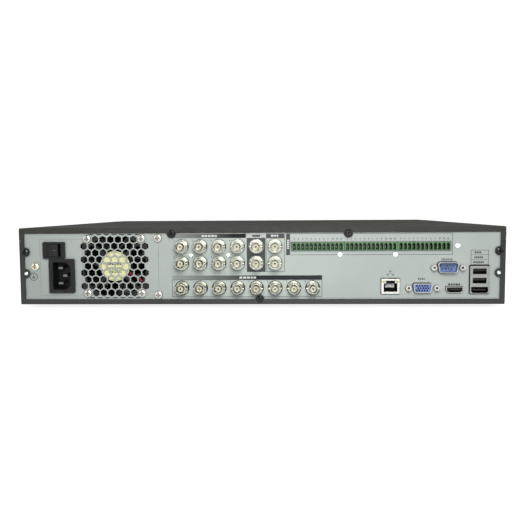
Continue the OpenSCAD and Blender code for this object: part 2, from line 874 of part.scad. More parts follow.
// Key: cap through the bezel, a flange behind it, and a stem towards its switch
module key_solid(p) {
    place() {
        slab(face_back - 0.3, front_y + key_out) translate(p) children(0);
        slab(face_back - 1.4, face_back - 0.3 + eps) translate(p) children(1);
        slab(face_back - 5.2, face_back - 1.3) translate(p) circle(1.6);
    }
}

module round_key(p, r) {
    key_solid(p) {
        circle(r);
        circle(r + 1.4);
    }
}

module bar_key(p, w, h) {
    key_solid(p) {
        rounded(w, h, 1.5);
        rounded(w + 2.4, h + 2.4, 2);
    }
}

up_point = pad_point + [0, pad_reach];
down_point = pad_point - [0, pad_reach];
left_point = pad_point + [pad_reach, 0];
right_point = pad_point - [pad_reach, 0];
escape_point = [small_key_x, pad_point[1] + 9];
function_point = [small_key_x, pad_point[1] - 9];
key_points = [power_point, up_point, down_point, left_point, right_point, pad_point,
    escape_point, function_point];

module power_key() { color("#3c4043") round_key(power_point, 8); }
module up_key() { color("#4a4e50") bar_key(up_point, 12, 9); }
module down_key() { color("#4a4e50") bar_key(down_point, 12, 9); }
module left_key() { color("#4a4e50") bar_key(left_point, 9, 12); }
module right_key() { color("#4a4e50") bar_key(right_point, 9, 12); }
module enter_key() { color("#5a5e60") round_key(pad_point, 6.2); }
module escape_key() { color("#4a4e50") bar_key(escape_point, 14, 7); }
module function_key() { color("#4a4e50") bar_key(function_point, 14, 7); }

module key_holes() {
    translate(power_point) circle(8 + key_gap);
    translate(pad_point) circle(6.2 + key_gap);
    for (p = [up_point, down_point]) translate(p) rounded(12 + 2 * key_gap, 9 + 2 * key_gap, 1.8);
    for (p = [left_point, right_point]) translate(p) rounded(9 + 2 * key_gap, 12 + 2 * key_gap, 1.8);
    for (p = [escape_point, function_point])
        translate(p) rounded(14 + 2 * key_gap, 7 + 2 * key_gap, 1.8);
}

ring_tube_r = 21.95;

module front_bezel() {
    wall = 3;
    color("#2b2d2f") place() difference() {
        slab(case_d + 0.1, front_y) translate([0, body_h / 2]) rounded(body_w, body_h, 4);
        slab(case_d - 1, face_back) translate([0, body_h / 2])
            rounded(body_w - 2 * wall, body_h - 2 * wall, 2);
        slab(face_back - 1, front_y + 1) {
            key_holes();
            translate(dial_point) circle(ring_tube_r + 0.07);
            translate(window_c) rounded(window_size[0] - 6, window_size[1] - 6, 2);
        }
        slab(front_y - 1.4, front_y + 1) translate(window_c)
            rounded(window_size[0], window_size[1], 3);
    }
}

module front_window() {
    color("#241c22") place() slab(front_y - 1.38, front_y - 0.1) translate(window_c)
        rounded(window_size[0] - 0.3, window_size[1] - 0.3, 2.9);
}

module front_board() {
    bush_r = 5;
    color("#1f5a3a") place() difference() {
        union() {
            slab(front_board_y, front_board_y + board_t) translate([0, 33])
                square([420, 54], center = true);
            for (p = key_points)
                slab(front_board_y + board_t - eps, face_back - 5.2 - key_travel - 0.4) translate(p)
                    square([6, 6], center = true);
            slab(front_board_y - 6, front_board_y + 8) translate(dial_point) circle(bush_r);
            slab(front_board_y - 3, front_board_y) translate(dial_point) square([16, 16], center = true);
        }
        slab(front_board_y - 5, front_board_y + 9) translate(dial_point) circle(3.05);
    }
}

module jog_dial() {
    color("#3a3e41") place() difference() {
        forward(dial_point, front_y) {
            rotate_extrude() polygon([[0, 0.6], [dial_r, 0.6], [dial_r, dial_out - 1.2],
                [dial_r - 1.2, dial_out], [0, dial_out]]);
            translate([0, 0, -face_t - 15]) cylinder(r = 3, h = face_t + 16);
        }
        forward(dial_point + [0, 9.5], front_y + dial_out + 4.5) sphere(6.5);
    }
}

// Sprung ring round the dial, held by a flange behind the bezel
module shuttle_ring() {
    bore_r = dial_r + 0.5;
    color("#54595c") place() forward(dial_point, front_y) difference() {
        rotate_extrude() polygon([[bore_r, -face_t - 2], [ring_tube_r + 1.6, -face_t - 2],
            [ring_tube_r + 1.6, -face_t - 0.4], [ring_tube_r, -face_t - 0.4], [ring_tube_r, 0.4],
            [ring_r, 0.4], [ring_r, 4.4], [ring_r - 1.2, 5.6], [bore_r, 6.4]]);
        for (turn = [0 : 15 : 345]) rotate(turn) translate([ring_r + 0.9, 0, 0.2])
            cylinder(r = 1.5, h = 7);
    }
}

bottom_chassis();
top_cover();
power_panel();
io_panel();
fan_frame();
fan_rotor();
fan_cable();
panel_screws();
power_switch_body();
power_switch_rocker();
ac_inlet_body();
ac_inlet_pins();
earth_screw();
rivets();
cover_screws();
audio_bnc_shells();
video_bnc_shells();
bnc_insulators();
bnc_contacts();
terminal_block_1();
terminal_block_2();
terminal_block_3();
terminal_pins();
rj45_shell();
rj45_insert();
rj45_leds();
rj45_contacts();
vga_shell();
vga_insert();
serial_shell();
serial_insert();
serial_pins();
jack_screws();
hdmi_shell();
hdmi_tongue();
usb_shell();
usb_insert();
main_board();
io_board();
alarm_board();
processor_heatsink();
psu_case();
psu_board();
hard_drive_1();
hard_drive_2();
drive_bracket();
rubber_feet();
front_bezel();
front_window();
front_board();
jog_dial();
shuttle_ring();
power_key();
up_key();
down_key();
left_key();
right_key();
enter_key();
escape_key();
function_key();
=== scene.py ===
"""Looks for the rack-width video recorder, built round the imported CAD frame."""
import json
import math
import random

import bmesh
import bpy
from mathutils import Matrix, Vector


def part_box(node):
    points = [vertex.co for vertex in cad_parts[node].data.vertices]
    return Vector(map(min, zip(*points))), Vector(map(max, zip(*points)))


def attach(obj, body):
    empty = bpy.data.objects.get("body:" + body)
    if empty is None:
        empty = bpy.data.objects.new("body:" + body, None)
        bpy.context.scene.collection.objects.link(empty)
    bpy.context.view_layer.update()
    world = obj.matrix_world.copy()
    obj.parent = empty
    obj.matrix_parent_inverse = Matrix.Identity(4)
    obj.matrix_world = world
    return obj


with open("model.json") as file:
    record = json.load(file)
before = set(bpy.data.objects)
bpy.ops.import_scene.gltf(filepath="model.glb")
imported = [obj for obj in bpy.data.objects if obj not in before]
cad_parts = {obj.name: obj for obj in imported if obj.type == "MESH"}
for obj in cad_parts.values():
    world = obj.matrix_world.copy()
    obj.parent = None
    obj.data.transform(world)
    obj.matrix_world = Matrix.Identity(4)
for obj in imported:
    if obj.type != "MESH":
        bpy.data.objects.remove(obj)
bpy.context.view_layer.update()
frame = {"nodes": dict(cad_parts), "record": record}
nodes = frame["nodes"]
MM = 0.001
MAIN = "recorder"
REAR_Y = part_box("bottom_chassis")[0].y
FLOOR_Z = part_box("bottom_chassis")[0].z


# ---- places: millimetres from the rear flange's face and the case's underside ----

def at(x, y, z):
    """A point of the rear frame, in metres in the part's frame."""
    return Vector((x * MM, REAR_Y + y * MM, FLOOR_Z + z * MM))


def span(name):
    """A node's box in the rear frame: x0, y0, z0, x1, y1, z1 in millimetres."""
    low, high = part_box(name)
    shift = Vector((0, REAR_Y, FLOOR_Z))
    return [v / MM for v in (*(low - shift), *(high - shift))]


def middle(name):
    """The centre of a node's box as x, z in millimetres."""
    x0, _, z0, x1, _, z1 = span(name)
    return (x0 + x1) / 2, (z0 + z1) / 2


PANEL_Y = span("io_panel")[1]
FRONT_Y = span("front_bezel")[4]


# ---- materials ----

class Graph:
    """A shader node tree, with short calls for the nodes that recur."""

    def __init__(self, tree):
        self.nodes = tree.nodes
        self.links = tree.links

    def add(self, kind, **settings):
        node = self.nodes.new(kind)
        for key, value in settings.items():
            setattr(node, key, value)
        return node

    def feed(self, node, **sources):
        """Links or sets inputs by name, with _ for a space."""
        for key, source in sources.items():
            self.plug(source, node.inputs[key.replace("_", " ")])
        return node

    def plug(self, source, socket):
        if isinstance(source, bpy.types.NodeSocket):
            self.links.new(source, socket)
        else:
            socket.default_value = source

    def spread(self, source, low, high, new_low, new_high):
        node = self.add("ShaderNodeMapRange")
        self.feed(node, Value=source, From_Min=low, From_Max=high, To_Min=new_low, To_Max=new_high)
        return node.outputs["Result"]

    def math(self, operation, *sources):
        node = self.add("ShaderNodeMath", operation=operation)
        for source, socket in zip(sources, node.inputs):
            self.plug(source, socket)
        return node.outputs[0]

    def axes(self, place):
        node = self.add("ShaderNodeSeparateXYZ")
        self.links.new(place, node.inputs[0])
        return node.outputs


class Shade(Graph):
    """A material being built: a Principled shader fed by textures in object coordinates."""

    def __init__(self, name, color, rough, metal=0.0, **sockets):
        self.mat = bpy.data.materials.new(name)
        self.mat.use_nodes = True
        super().__init__(self.mat.node_tree)
        self.bsdf = self.nodes["Principled BSDF"]
        self.base = color
        self.height = None
        self.bsdf.inputs["Base Color"].default_value = (*color, 1)
        self.bsdf.inputs["Roughness"].default_value = rough
        self.bsdf.inputs["Metallic"].default_value = metal
        self.feed(self.bsdf, **sockets)
        self.place = self.add("ShaderNodeTexCoord").outputs["Object"]

    def stretched(self, stretch):
        mapping = self.add("ShaderNodeMapping")
        self.feed(mapping, Vector=self.place, Scale=stretch)
        return mapping.outputs["Vector"]

    def noise(self, size_mm, detail=3.0, stretch=None, rough=0.55):
        """Noise whose features are about size_mm across."""
        node = self.add("ShaderNodeTexNoise")
        place = self.stretched(stretch) if stretch else self.place
        self.feed(node, Vector=place, Scale=1 / (size_mm * MM), Detail=detail, Roughness=rough)
        return node.outputs["Fac"]

    def cells(self, size_mm, stretch=None):
        node = self.add("ShaderNodeTexVoronoi")
        place = self.stretched(stretch) if stretch else self.place
        self.feed(node, Vector=place, Scale=1 / (size_mm * MM))
        return node.outputs["Distance"]

    def mixed(self, factor, first, second, blend="MIX"):
        """A mix of two colours, each a socket or red, green and blue."""
        node = self.add("ShaderNodeMix", data_type="RGBA", blend_type=blend)
        self.plug(factor, node.inputs[0])
        for source, socket in ((first, node.inputs[6]), (second, node.inputs[7])):
            self.plug((*source, 1) if isinstance(source, tuple) else source, socket)
        return node.outputs[2]

    def tint(self, source, low, high, dark, light):
        """Base colour that runs from dark to light as source goes from low to high."""
        factor = self.spread(source, low, high, 0, 1)
        self.paint_with(self.mixed(factor, dark, light))
        return self

    def paint_with(self, color):
        self.links.new(color, self.bsdf.inputs["Base Color"])
        self.base = color

    def over(self, source, low, high, color):
        """Lays another colour over the base where source nears high."""
        self.paint_with(self.mixed(self.spread(source, low, high, 0, 1), self.base, color))
        return self

    def gloss(self, source, low, high, smooth, rough):
        self.links.new(self.spread(source, low, high, smooth, rough), self.bsdf.inputs["Roughness"])
        return self

    def bump(self, source, depth_mm, strength=1.0):
        node = self.add("ShaderNodeBump")
        self.feed(node, Height=source, Distance=depth_mm * MM, Strength=strength)
        if self.height:
            self.links.new(self.height, node.inputs["Normal"])
        self.height = node.outputs["Normal"]
        self.links.new(self.height, self.bsdf.inputs["Normal"])
        return self

    def round_edges(self, radius_mm, samples=4):
        """Lets the light catch edges that are too small to model round."""
        node = self.add("ShaderNodeBevel", samples=samples)
        node.inputs["Radius"].default_value = radius_mm * MM
        self.height = node.outputs["Normal"]
        self.links.new(self.height, self.bsdf.inputs["Normal"])
        return self

    def shade_hollows(self, reach_mm, least):
        """Darkens the base colour in recesses narrower than reach_mm, down to a share of it."""
        hollow = self.add("ShaderNodeAmbientOcclusion", samples=6)
        hollow.inputs["Distance"].default_value = reach_mm * MM
        shadow = self.mixed(hollow.outputs["AO"], (least, least, least), (1.0, 1.0, 1.0))
        self.paint_with(self.mixed(1.0, self.base, shadow, "MULTIPLY"))
        return self

    def dull_past(self, y_mm, color):
        """Paints shade: near-black and not metallic deeper than y_mm behind the flange, where the
        parts lie in shadow behind the panel.
        """
        edge = REAR_Y + y_mm * MM
        deep = self.spread(self.axes(self.place)["Y"], edge, edge + 0.1 * MM, 0, 1)
        self.over(deep, 0, 1, color)
        self.links.new(self.spread(deep, 0, 1, 1, 0), self.bsdf.inputs["Metallic"])
        return self

    def worn_edges(self, radius_mm, color, low=0.02, high=0.35):
        """Shows a lighter colour where handling has thinned the finish along edges."""
        bevel = self.add("ShaderNodeBevel", samples=4)
        bevel.inputs["Radius"].default_value = radius_mm * MM
        normal = self.add("ShaderNodeNewGeometry").outputs["Normal"]
        dot = self.add("ShaderNodeVectorMath", operation="DOT_PRODUCT")
        self.links.new(bevel.outputs["Normal"], dot.inputs[0])
        self.links.new(normal, dot.inputs[1])
        turned = self.spread(dot.outputs["Value"], 1.0 - low, 1.0 - high, 0, 1)
        patches = self.spread(self.noise(2.5, 4), 0.42, 0.62, 0, 1)
        return self.over(self.math("MULTIPLY", turned, patches), 0, 1, color)


def scaled(color, factor):
    return tuple(min(1.0, c * factor) for c in color)


def powder_coat(name, color, rough, wear, shine, grain_mm=0.55):
    """Textured paint on sheet steel: orange peel, faint flecks, worn edges."""
    s = Shade(name, color, rough, Specular_IOR_Level=shine)
    blotches = s.noise(38, 4)
    s.tint(blotches, 0.3, 0.7, scaled(color, 0.86), scaled(color, 1.14))
    s.over(s.noise(0.35, 2), 0.62, 0.8, scaled(color, 1.7))
    s.worn_edges(0.35, wear)
    s.gloss(s.noise(6, 5), 0.3, 0.7, rough - 0.06, rough + 0.07)
    s.bump(s.noise(grain_mm, 2), 0.035, 0.5)
    s.bump(s.noise(14, 2), 0.05, 0.25)
    return s.mat


def panel_paint(name, color):
    """Light satin paint with faint mottling and dust along its length."""
    s = Shade(name, color, 0.42, Specular_IOR_Level=0.5)
    s.tint(s.noise(55, 4), 0.28, 0.72, scaled(color, 0.93), scaled(color, 1.05))
    s.over(s.noise(0.5, 2), 0.6, 0.85, scaled(color, 1.12))
    s.over(s.noise(0.9, 3), 0.66, 0.8, scaled(color, 0.82))
    s.worn_edges(0.25, scaled(color, 0.6))
    s.gloss(s.noise(9, 4), 0.3, 0.7, 0.36, 0.5)
    s.shade_hollows(2.5, 0.35)
    s.bump(s.noise(0.4, 2), 0.02, 0.4)
    return s.mat


def moulded(name, color, rough, grain_mm=0.25, depth_mm=0.012, radius_mm=0.2,
            hollow=(3.0, 0.2), **sockets):
    """Injection-moulded plastic: spark-eroded grain, flow marks, soft edges."""
    s = Shade(name, color, rough, Specular_IOR_Level=0.3, **sockets)
    s.tint(s.noise(7, 3), 0.3, 0.7, scaled(color, 0.88), scaled(color, 1.12))
    s.over(s.noise(grain_mm, 1), 0.66, 0.85, scaled(color, 1.5))
    s.gloss(s.noise(3, 4), 0.3, 0.7, max(0.05, rough - 0.07), rough + 0.08)
    s.shade_hollows(*hollow)
    s.round_edges(radius_mm)
    s.bump(s.noise(grain_mm, 2), depth_mm, 0.6)
    return s.mat


def plated(name, color, rough, stretch=None, grain_mm=0.6, depth_mm=0.004, radius_mm=0.12,
           hollow=(2.0, 0.2), back_mm=None):
    """Plated metal: fine tool marks along one direction, stains and soft edges; past back_mm,
    painted shade.
    """
    s = Shade(name, color, rough, 1.0)
    s.tint(s.noise(2.2, 4), 0.3, 0.75, scaled(color, 0.78), scaled(color, 1.06))
    s.gloss(s.noise(0.8, 4, stretch), 0.3, 0.7, max(0.04, rough - 0.08), rough + 0.1)
    # Painted shade: near-black past back_mm, for the parts that lie in shadow behind the panel
    if back_mm is not None:
        s.dull_past(back_mm, (0.02, 0.02, 0.02))
    s.shade_hollows(*hollow)
    s.round_edges(radius_mm)
    s.bump(s.noise(grain_mm, 3, stretch), depth_mm, 0.5)
    return s.mat


def solder_mask(name):
    """Circuit board: green mask over a maze of tracks, with bare pads."""
    mask = (0.012, 0.11, 0.045)
    s = Shade(name, mask, 0.28, Coat_Weight=0.3, Coat_Roughness=0.2)
    tracks = s.add("ShaderNodeTexBrick", offset=0.37, squash=1.6)
    s.feed(tracks, Vector=s.place, Scale=1 / (9 * MM), Mortar_Size=0.05)
    tracks.inputs["Color1"].default_value = (0, 0, 0, 1)
    tracks.inputs["Color2"].default_value = (0.2, 0.2, 0.2, 1)
    tracks.inputs["Mortar"].default_value = (1, 1, 1, 1)
    s.tint(tracks.outputs["Color"], 0, 1, scaled(mask, 0.8), scaled(mask, 1.9))
    s.over(s.cells(2.6), 0.12, 0.08, (0.62, 0.60, 0.52))
    s.bump(tracks.outputs["Color"], 0.03, 0.5)
    return s.mat


def rubber(name):
    s = Shade(name, (0.018, 0.018, 0.017), 0.75)
    s.tint(s.noise(4, 4), 0.3, 0.7, (0.012, 0.012, 0.012), (0.03, 0.03, 0.028))
    s.gloss(s.noise(2, 4), 0.3, 0.7, 0.65, 0.85)
    s.bump(s.noise(0.5, 3), 0.03, 0.6)
    return s.mat


def smoked_acrylic(name):
    """Dark glossy window: a faint purple cast, wiping marks in its shine."""
    s = Shade(name, (0.008, 0.006, 0.007), 0.06, Specular_IOR_Level=0.22)
    s.tint(s.noise(30, 2), 0.3, 0.7, (0.006, 0.004, 0.005), (0.010, 0.007, 0.009))
    s.gloss(s.noise(12, 5), 0.35, 0.75, 0.04, 0.16)
    s.bump(s.noise(25, 2), 0.01, 0.2)
    return s.mat


def turned(name, color, rough):
    """Turned and anodised metal with fine rings about a Y axis."""
    s = Shade(name, color, rough, 1.0)
    s.tint(s.noise(5, 3), 0.3, 0.7, scaled(color, 0.85), scaled(color, 1.15))
    s.gloss(s.noise(0.4, 3, (0.15, 1, 0.15)), 0.3, 0.7, rough - 0.07, rough + 0.1)
    s.round_edges(0.4)
    s.bump(s.noise(0.35, 2, (0.1, 1, 0.1)), 0.01, 0.6)
    return s.mat


def ink(name, color, rough=0.5):
    """Screen-printed ink: slightly uneven, with pin holes."""
    s = Shade(name, color, rough)
    s.tint(s.noise(1.4, 4), 0.3, 0.7, scaled(color, 0.85), scaled(color, 1.15))
    s.over(s.noise(0.22, 1), 0.72, 0.8, scaled(color, 1.5))
    s.bump(s.noise(0.3, 2), 0.01, 0.4)
    return s.mat


def fading_ink(name, x0, x1, left, right, power=1.0):
    """Ink whose colour runs from left at x0 to right at x1, in millimetres."""
    s = Shade(name, left, 0.5, Specular_IOR_Level=0.1)
    along = s.spread(s.axes(s.place)["X"], x0 * MM, x1 * MM, 0, 1)
    s.paint_with(s.mixed(s.math("POWER", along, power), left, right))
    s.bump(s.noise(0.3, 2), 0.01, 0.4)
    return s.mat


def glowing_lens(name, color, strength):
    s = Shade(name, color, 0.15, Coat_Weight=0.6)
    s.tint(s.noise(1.0, 2), 0.3, 0.7, scaled(color, 0.8), scaled(color, 1.2))
    s.bsdf.inputs["Emission Color"].default_value = (*color, 1)
    s.bsdf.inputs["Emission Strength"].default_value = strength
    s.round_edges(0.2)
    return s.mat


MATERIALS = {
    "case_paint": powder_coat("case_paint", (0.0022, 0.0028, 0.0026), 0.25,
                              (0.045, 0.045, 0.043), 0.6),
    "cover_paint": powder_coat("cover_paint", (0.022, 0.0215, 0.0165), 0.62,
                               (0.06, 0.06, 0.055), 0.35),
    "panel_paint": panel_paint("panel_paint", (0.415, 0.457, 0.434)),
    "black_plastic": moulded("black_plastic", (0.004, 0.0046, 0.0046), 0.42,
                             hollow=(3.0, 0.8)),
    "rocker_plastic": moulded("rocker_plastic", (0.0035, 0.0035, 0.004), 0.35, 0.4, 0.006),
    "wire_jacket": moulded("wire_jacket", (0.40, 0.02, 0.035), 0.4, 0.5, 0.01),
    "bright_steel": plated("bright_steel", (0.54, 0.53, 0.48), 0.3, hollow=(2.5, 0.03)),
    # Clamps inside the terminal cells: steel darkened and tinted green, painted shade and a painted
    # green reflection of the cells
    "shaded_clamp_steel": plated("shaded_clamp_steel", (0.15, 0.20, 0.13), 0.4, hollow=(2.0, 0.5)),
    # Pins in the inlet and the serial socket: steel darkened, painted shade
    "shaded_pin_steel": plated("shaded_pin_steel", (0.17, 0.18, 0.19), 0.3, hollow=(2.5, 0.3)),
    "spring_steel": plated("spring_steel", (0.62, 0.62, 0.60), 0.35, hollow=(1.0, 0.8)),
    "usb_steel": plated("usb_steel", (0.30, 0.32, 0.305), 0.32, (1, 0.1, 1), hollow=(3.0, 0.1)),
    "rivet_steel": plated("rivet_steel", (0.84, 0.87, 0.87), 0.34, hollow=(1.0, 0.6)),
    "earth_brass": plated("earth_brass", (0.66, 0.61, 0.48), 0.3),
    "black_screw": plated("black_screw", (0.035, 0.035, 0.037), 0.24),
    # The sockets' barrels turn to painted shade 2.3 mm behind the flange, inside the panel's holes
    "nickel": plated("nickel", (0.48, 0.49, 0.41), 0.25, (0.08, 1, 0.08), 0.5, 0.002, 0.25,
                     (2.0, 0.4), 2.3),
    "insulator": moulded("insulator", (0.62, 0.585, 0.45), 0.45, hollow=(2.0, 0.35),
                         Subsurface_Weight=0.15, Subsurface_Scale=0.001),
    # Contacts deep in the sockets' bores: gold darkened to near-black, painted shade
    "shaded_gold": plated("shaded_gold", (0.085, 0.078, 0.05), 0.4, hollow=(3.0, 0.2)),
    "contact_gold": plated("contact_gold", (0.26, 0.21, 0.12), 0.35, hollow=(4.0, 0.03)),
    "terminal_green": moulded("terminal_green", (0.125, 0.24, 0.115), 0.42, hollow=(4.0, 0.12),
                              Subsurface_Weight=0.1, Subsurface_Scale=0.001),
    # The socket shells turn to painted shade 2.15 mm behind the flange, where the D flanges lie
    # behind the panel
    "socket_steel": plated("socket_steel", (0.60, 0.60, 0.56), 0.3, (1, 0.1, 1), hollow=(3.0, 0.1),
                           back_mm=2.15),
    "led_lens": glowing_lens("led_lens", (0.42, 0.46, 0.14), 0.1),
    "vga_blue": moulded("vga_blue", (0.175, 0.255, 0.54), 0.4, hollow=(1.6, 0.03)),
    "serial_blue": moulded("serial_blue", (0.145, 0.22, 0.46), 0.4, hollow=(1.5, 0.4)),
    "circuit_board": solder_mask("circuit_board"),
    "heatsink": plated("heatsink", (0.05, 0.052, 0.055), 0.4, (0.1, 1, 1)),
    "zinc_sheet": plated("zinc_sheet", (0.50, 0.52, 0.52), 0.35, (1, 0.1, 1)),
    "drive_casting": plated("drive_casting", (0.55, 0.56, 0.57), 0.4),
    "foot_rubber": rubber("foot_rubber"),
    "bezel_plastic": moulded("bezel_plastic", (0.018, 0.020, 0.022), 0.52, 0.35, 0.02, 0.5),
    "smoked_window": smoked_acrylic("smoked_window"),
    "key_plastic": moulded("key_plastic", (0.06, 0.065, 0.07), 0.36, 0.3, 0.01, 0.5),
    "dial_metal": turned("dial_metal", (0.24, 0.25, 0.26), 0.3),
}

# Nodes whose metal differs from the others of their slot; the darker pins, clamps and contacts
# carry painted shade
FINISHES = {"rivets": "rivet_steel", "terminal_pins": "shaded_clamp_steel", "serial_pins": "shaded_pin_steel",
            "ac_inlet_pins": "shaded_pin_steel", "usb_shell": "usb_steel", "bnc_contacts": "shaded_gold"}

for part in frame["record"]["subparts"]:
    node = nodes[part["node"]]
    node.data.materials.clear()
    finish = FINISHES.get(part["node"], part["material_slot"])
    node.data.materials.append(MATERIALS[finish])


# ---- softened edges on the folded sheet and the mouldings ----

def soften(name, width_mm, segments=2, angle=35):
    """Rounds a CAD node's sharp edges with modifiers, keeping its mesh."""
    node = nodes[name]
    weld = node.modifiers.new("weld", "WELD")
    weld.merge_threshold = 2e-6
    flat = node.modifiers.new("flat", "DECIMATE")
    flat.decimate_type = "DISSOLVE"
    flat.angle_limit = math.radians(0.4)
    bevel = node.modifiers.new("bevel", "BEVEL")
    bevel.width = width_mm * MM
    bevel.segments = segments
    bevel.limit_method = "ANGLE"
    bevel.angle_limit = math.radians(angle)
    bevel.harden_normals = False
    shade = node.modifiers.new("shade", "WEIGHTED_NORMAL")
    shade.keep_sharp = False
    shade.weight = 80


for name, width in (("top_cover", 0.35), ("bottom_chassis", 0.25), ("front_bezel", 1.2),
                    ("ac_inlet_body", 0.35), ("power_switch_body", 0.35),
                    ("power_switch_rocker", 0.3), ("rubber_feet", 0.4)):
    soften(name, width)


# ---- printed graphics ----

UPRIGHT = Matrix.Rotation(math.pi / 2, 4, "X")


def drawn_mesh(name, curve):
    """The mesh that a curve or a text draws."""
    drawn = bpy.data.objects.new(name, curve)
    bpy.context.scene.collection.objects.link(drawn)
    bpy.context.view_layer.update()
    mesh = bpy.data.meshes.new_from_object(
        drawn.evaluated_get(bpy.context.evaluated_depsgraph_get()))
    bpy.data.objects.remove(drawn)
    return mesh


class Print:
    """Flat closed loops in the X-Z plane, made into one thin plate on a face."""

    def __init__(self):
        self.loops = []

    def loop(self, points):
        self.loops.append(points)
        return self

    def rect(self, x0, z0, x1, z1):
        return self.loop([(x0, z0), (x1, z0), (x1, z1), (x0, z1)])

    def outline(self, x0, z0, x1, z1, line):
        self.rect(x0, z0, x1, z1)
        return self.rect(x0 + line, z0 + line, x1 - line, z1 - line)

    def disc(self, x, z, r, count=40):
        turns = [2 * math.pi * k / count for k in range(count)]
        return self.loop([(x + r * math.cos(t), z + r * math.sin(t)) for t in turns])

    def ring(self, x, z, r0, r1, count=40):
        return self.disc(x, z, r0, count).disc(x, z, r1, count)

    def marks(self, x, z, height, widths, gap=0.45):
        """A row of blocks that stands for a printed word."""
        for width in widths:
            self.rect(x, z, x + width, z + height)
            x += width + gap
        return self

    def build(self, name, y, material, slot, thick_mm=0.05, facing=-1, body=MAIN):
        """Makes the plate with its face thick_mm out of depth y, facing -Y (-1) or +Y (1)."""
        curve = bpy.data.curves.new(name, "CURVE")
        curve.dimensions = "2D"
        curve.fill_mode = "BOTH"
        curve.extrude = thick_mm * MM / 2
        for points in self.loops:
            spline = curve.splines.new("POLY")
            spline.points.add(len(points) - 1)
            for spot, (x, z) in zip(spline.points, points):
                spot.co = (x * MM, z * MM, 0, 1)
            spline.use_cyclic_u = True
        mesh = drawn_mesh(name + "_curve", curve)
        centre = at(0, y + facing * thick_mm / 2, 0)
        mesh.transform(Matrix.Translation(centre) @ UPRIGHT)
        return piece(name, mesh, material, body)


def piece(name, mesh, material, body=MAIN):
    """A new object that rides on a body and takes the given material."""
    mesh.name = name
    mesh.materials.clear()
    mesh.materials.append(material)
    made = bpy.data.objects.new(name, mesh)
    bpy.context.scene.collection.objects.link(made)
    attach(made, body)
    return made


INK_DARK = ink("ink_dark", (0.010, 0.011, 0.013))
INK_LIGHT = ink("ink_light", (0.60, 0.62, 0.61))
INK_GREY = ink("ink_grey", (0.15, 0.16, 0.158))
LINE = 0.35

bnc_x0, _, _, bnc_x1, _, _ = span("video_bnc_shells")
VIDEO_COUNT = 8
BLOCK_HALF = 7.1
BNC_PITCH = (bnc_x1 - bnc_x0 - 2 * BLOCK_HALF) / (VIDEO_COUNT - 1)
BNC_X0 = bnc_x0 + BLOCK_HALF
insulator_box = span("bnc_insulators")
INSULATOR_R = 2.4
VIDEO_Z = insulator_box[2] + INSULATOR_R
UPPER_Z = insulator_box[5] - INSULATOR_R
LOWER_Z = span("audio_bnc_shells")[2] + 9.8
HOLE_R = 6.9


def bnc_x(column):
    return BNC_X0 + column * BNC_PITCH


def on_panel(shape, name, material, lift=0.0):
    return shape.build(name, PANEL_Y - lift, material, "panel_paint")


def word(seed, letters, size=1.15):
    """Widths for a row of blocks that stands for a word of that many letters."""
    rng = random.Random(seed)
    return [size * rng.uniform(0.75, 1.2) for _ in range(letters)]


# Header bars: their lower and upper edges
HEAD_Z0 = 60.3
HEAD_Z1 = 64.1
VIDEO_HEAD_Z0 = 22.4
VIDEO_HEAD_Z1 = 26.2
SOUND_FADE_GAP = 12
PICTURE_FADE_X = -5
MIC_COLUMN = 4
left_edge = bnc_x(0) - 9.0
mic_left = bnc_x(MIC_COLUMN) - 8.6
mic_right = bnc_x(MIC_COLUMN) + 8.3
out_left = mic_right + 0.6
out_right = out_left + 16.8
block_floor = LOWER_Z - 8.2

# Header bars over the sound sockets
bar = Print().rect(left_edge, HEAD_Z0, mic_left - 0.7, HEAD_Z1)
on_panel(bar, "print_header_sound",
         fading_ink("ink_fade_sound", left_edge, mic_left - SOUND_FADE_GAP,
                    (0.30, 0.32, 0.31), (0.010, 0.012, 0.012), 0.7))
bar = Print().rect(mic_left, HEAD_Z0, mic_right, HEAD_Z1)
on_panel(bar, "print_header_voice", ink("ink_pale", (0.40, 0.43, 0.42)))
bar = Print().rect(out_left, HEAD_Z0, out_right, HEAD_Z1)
on_panel(bar, "print_header_out", INK_DARK)

# Dark field behind the voice sockets, and a thin frame round the output sockets
field = Print().rect(mic_left, block_floor, mic_right, HEAD_Z0 - 0.05)
field.disc(bnc_x(MIC_COLUMN), UPPER_Z, HOLE_R)
field.disc(bnc_x(MIC_COLUMN), LOWER_Z, HOLE_R)
on_panel(field, "print_field_voice", INK_DARK)

lines = Print()
lines.outline(out_left, block_floor, out_right, HEAD_Z0 - 0.05, LINE)

# Header bar and frame of the picture inputs
video_right = bnc_x(VIDEO_COUNT - 1) + 8.6
bar = Print().rect(left_edge, VIDEO_HEAD_Z0, video_right, VIDEO_HEAD_Z1)
on_panel(bar, "print_header_picture",
         fading_ink("ink_fade_picture", left_edge, PICTURE_FADE_X,
                    (0.33, 0.36, 0.345), (0.022, 0.027, 0.027), 0.8))
lines.outline(left_edge, 6.6, video_right, VIDEO_HEAD_Z0 - 0.05, LINE)

# Terminal blocks: tall label, frame open on its left
TERM_FRAME_Z = 44.6
TERM_NUMBER_Z = 58.4
TERM_WAYS = 12
TERM_PITCH = 3.81
term_x0 = span("terminal_block_1")[0]
term_x1 = span("terminal_block_3")[3]
label = Print().rect(term_x0 - 4.7, TERM_FRAME_Z, term_x0 - 1.2, HEAD_Z1)
on_panel(label, "print_label_terminals", INK_DARK)
frame_left = term_x0 - 1.15
frame_right = term_x1 + 1.6
lines.loop([(frame_left, TERM_FRAME_Z), (frame_right, TERM_FRAME_Z),
            (frame_right, HEAD_Z1), (frame_left, HEAD_Z1),
            (frame_left, HEAD_Z1 - LINE), (frame_right - LINE, HEAD_Z1 - LINE),
            (frame_right - LINE, TERM_FRAME_Z + LINE), (frame_left, TERM_FRAME_Z + LINE)])

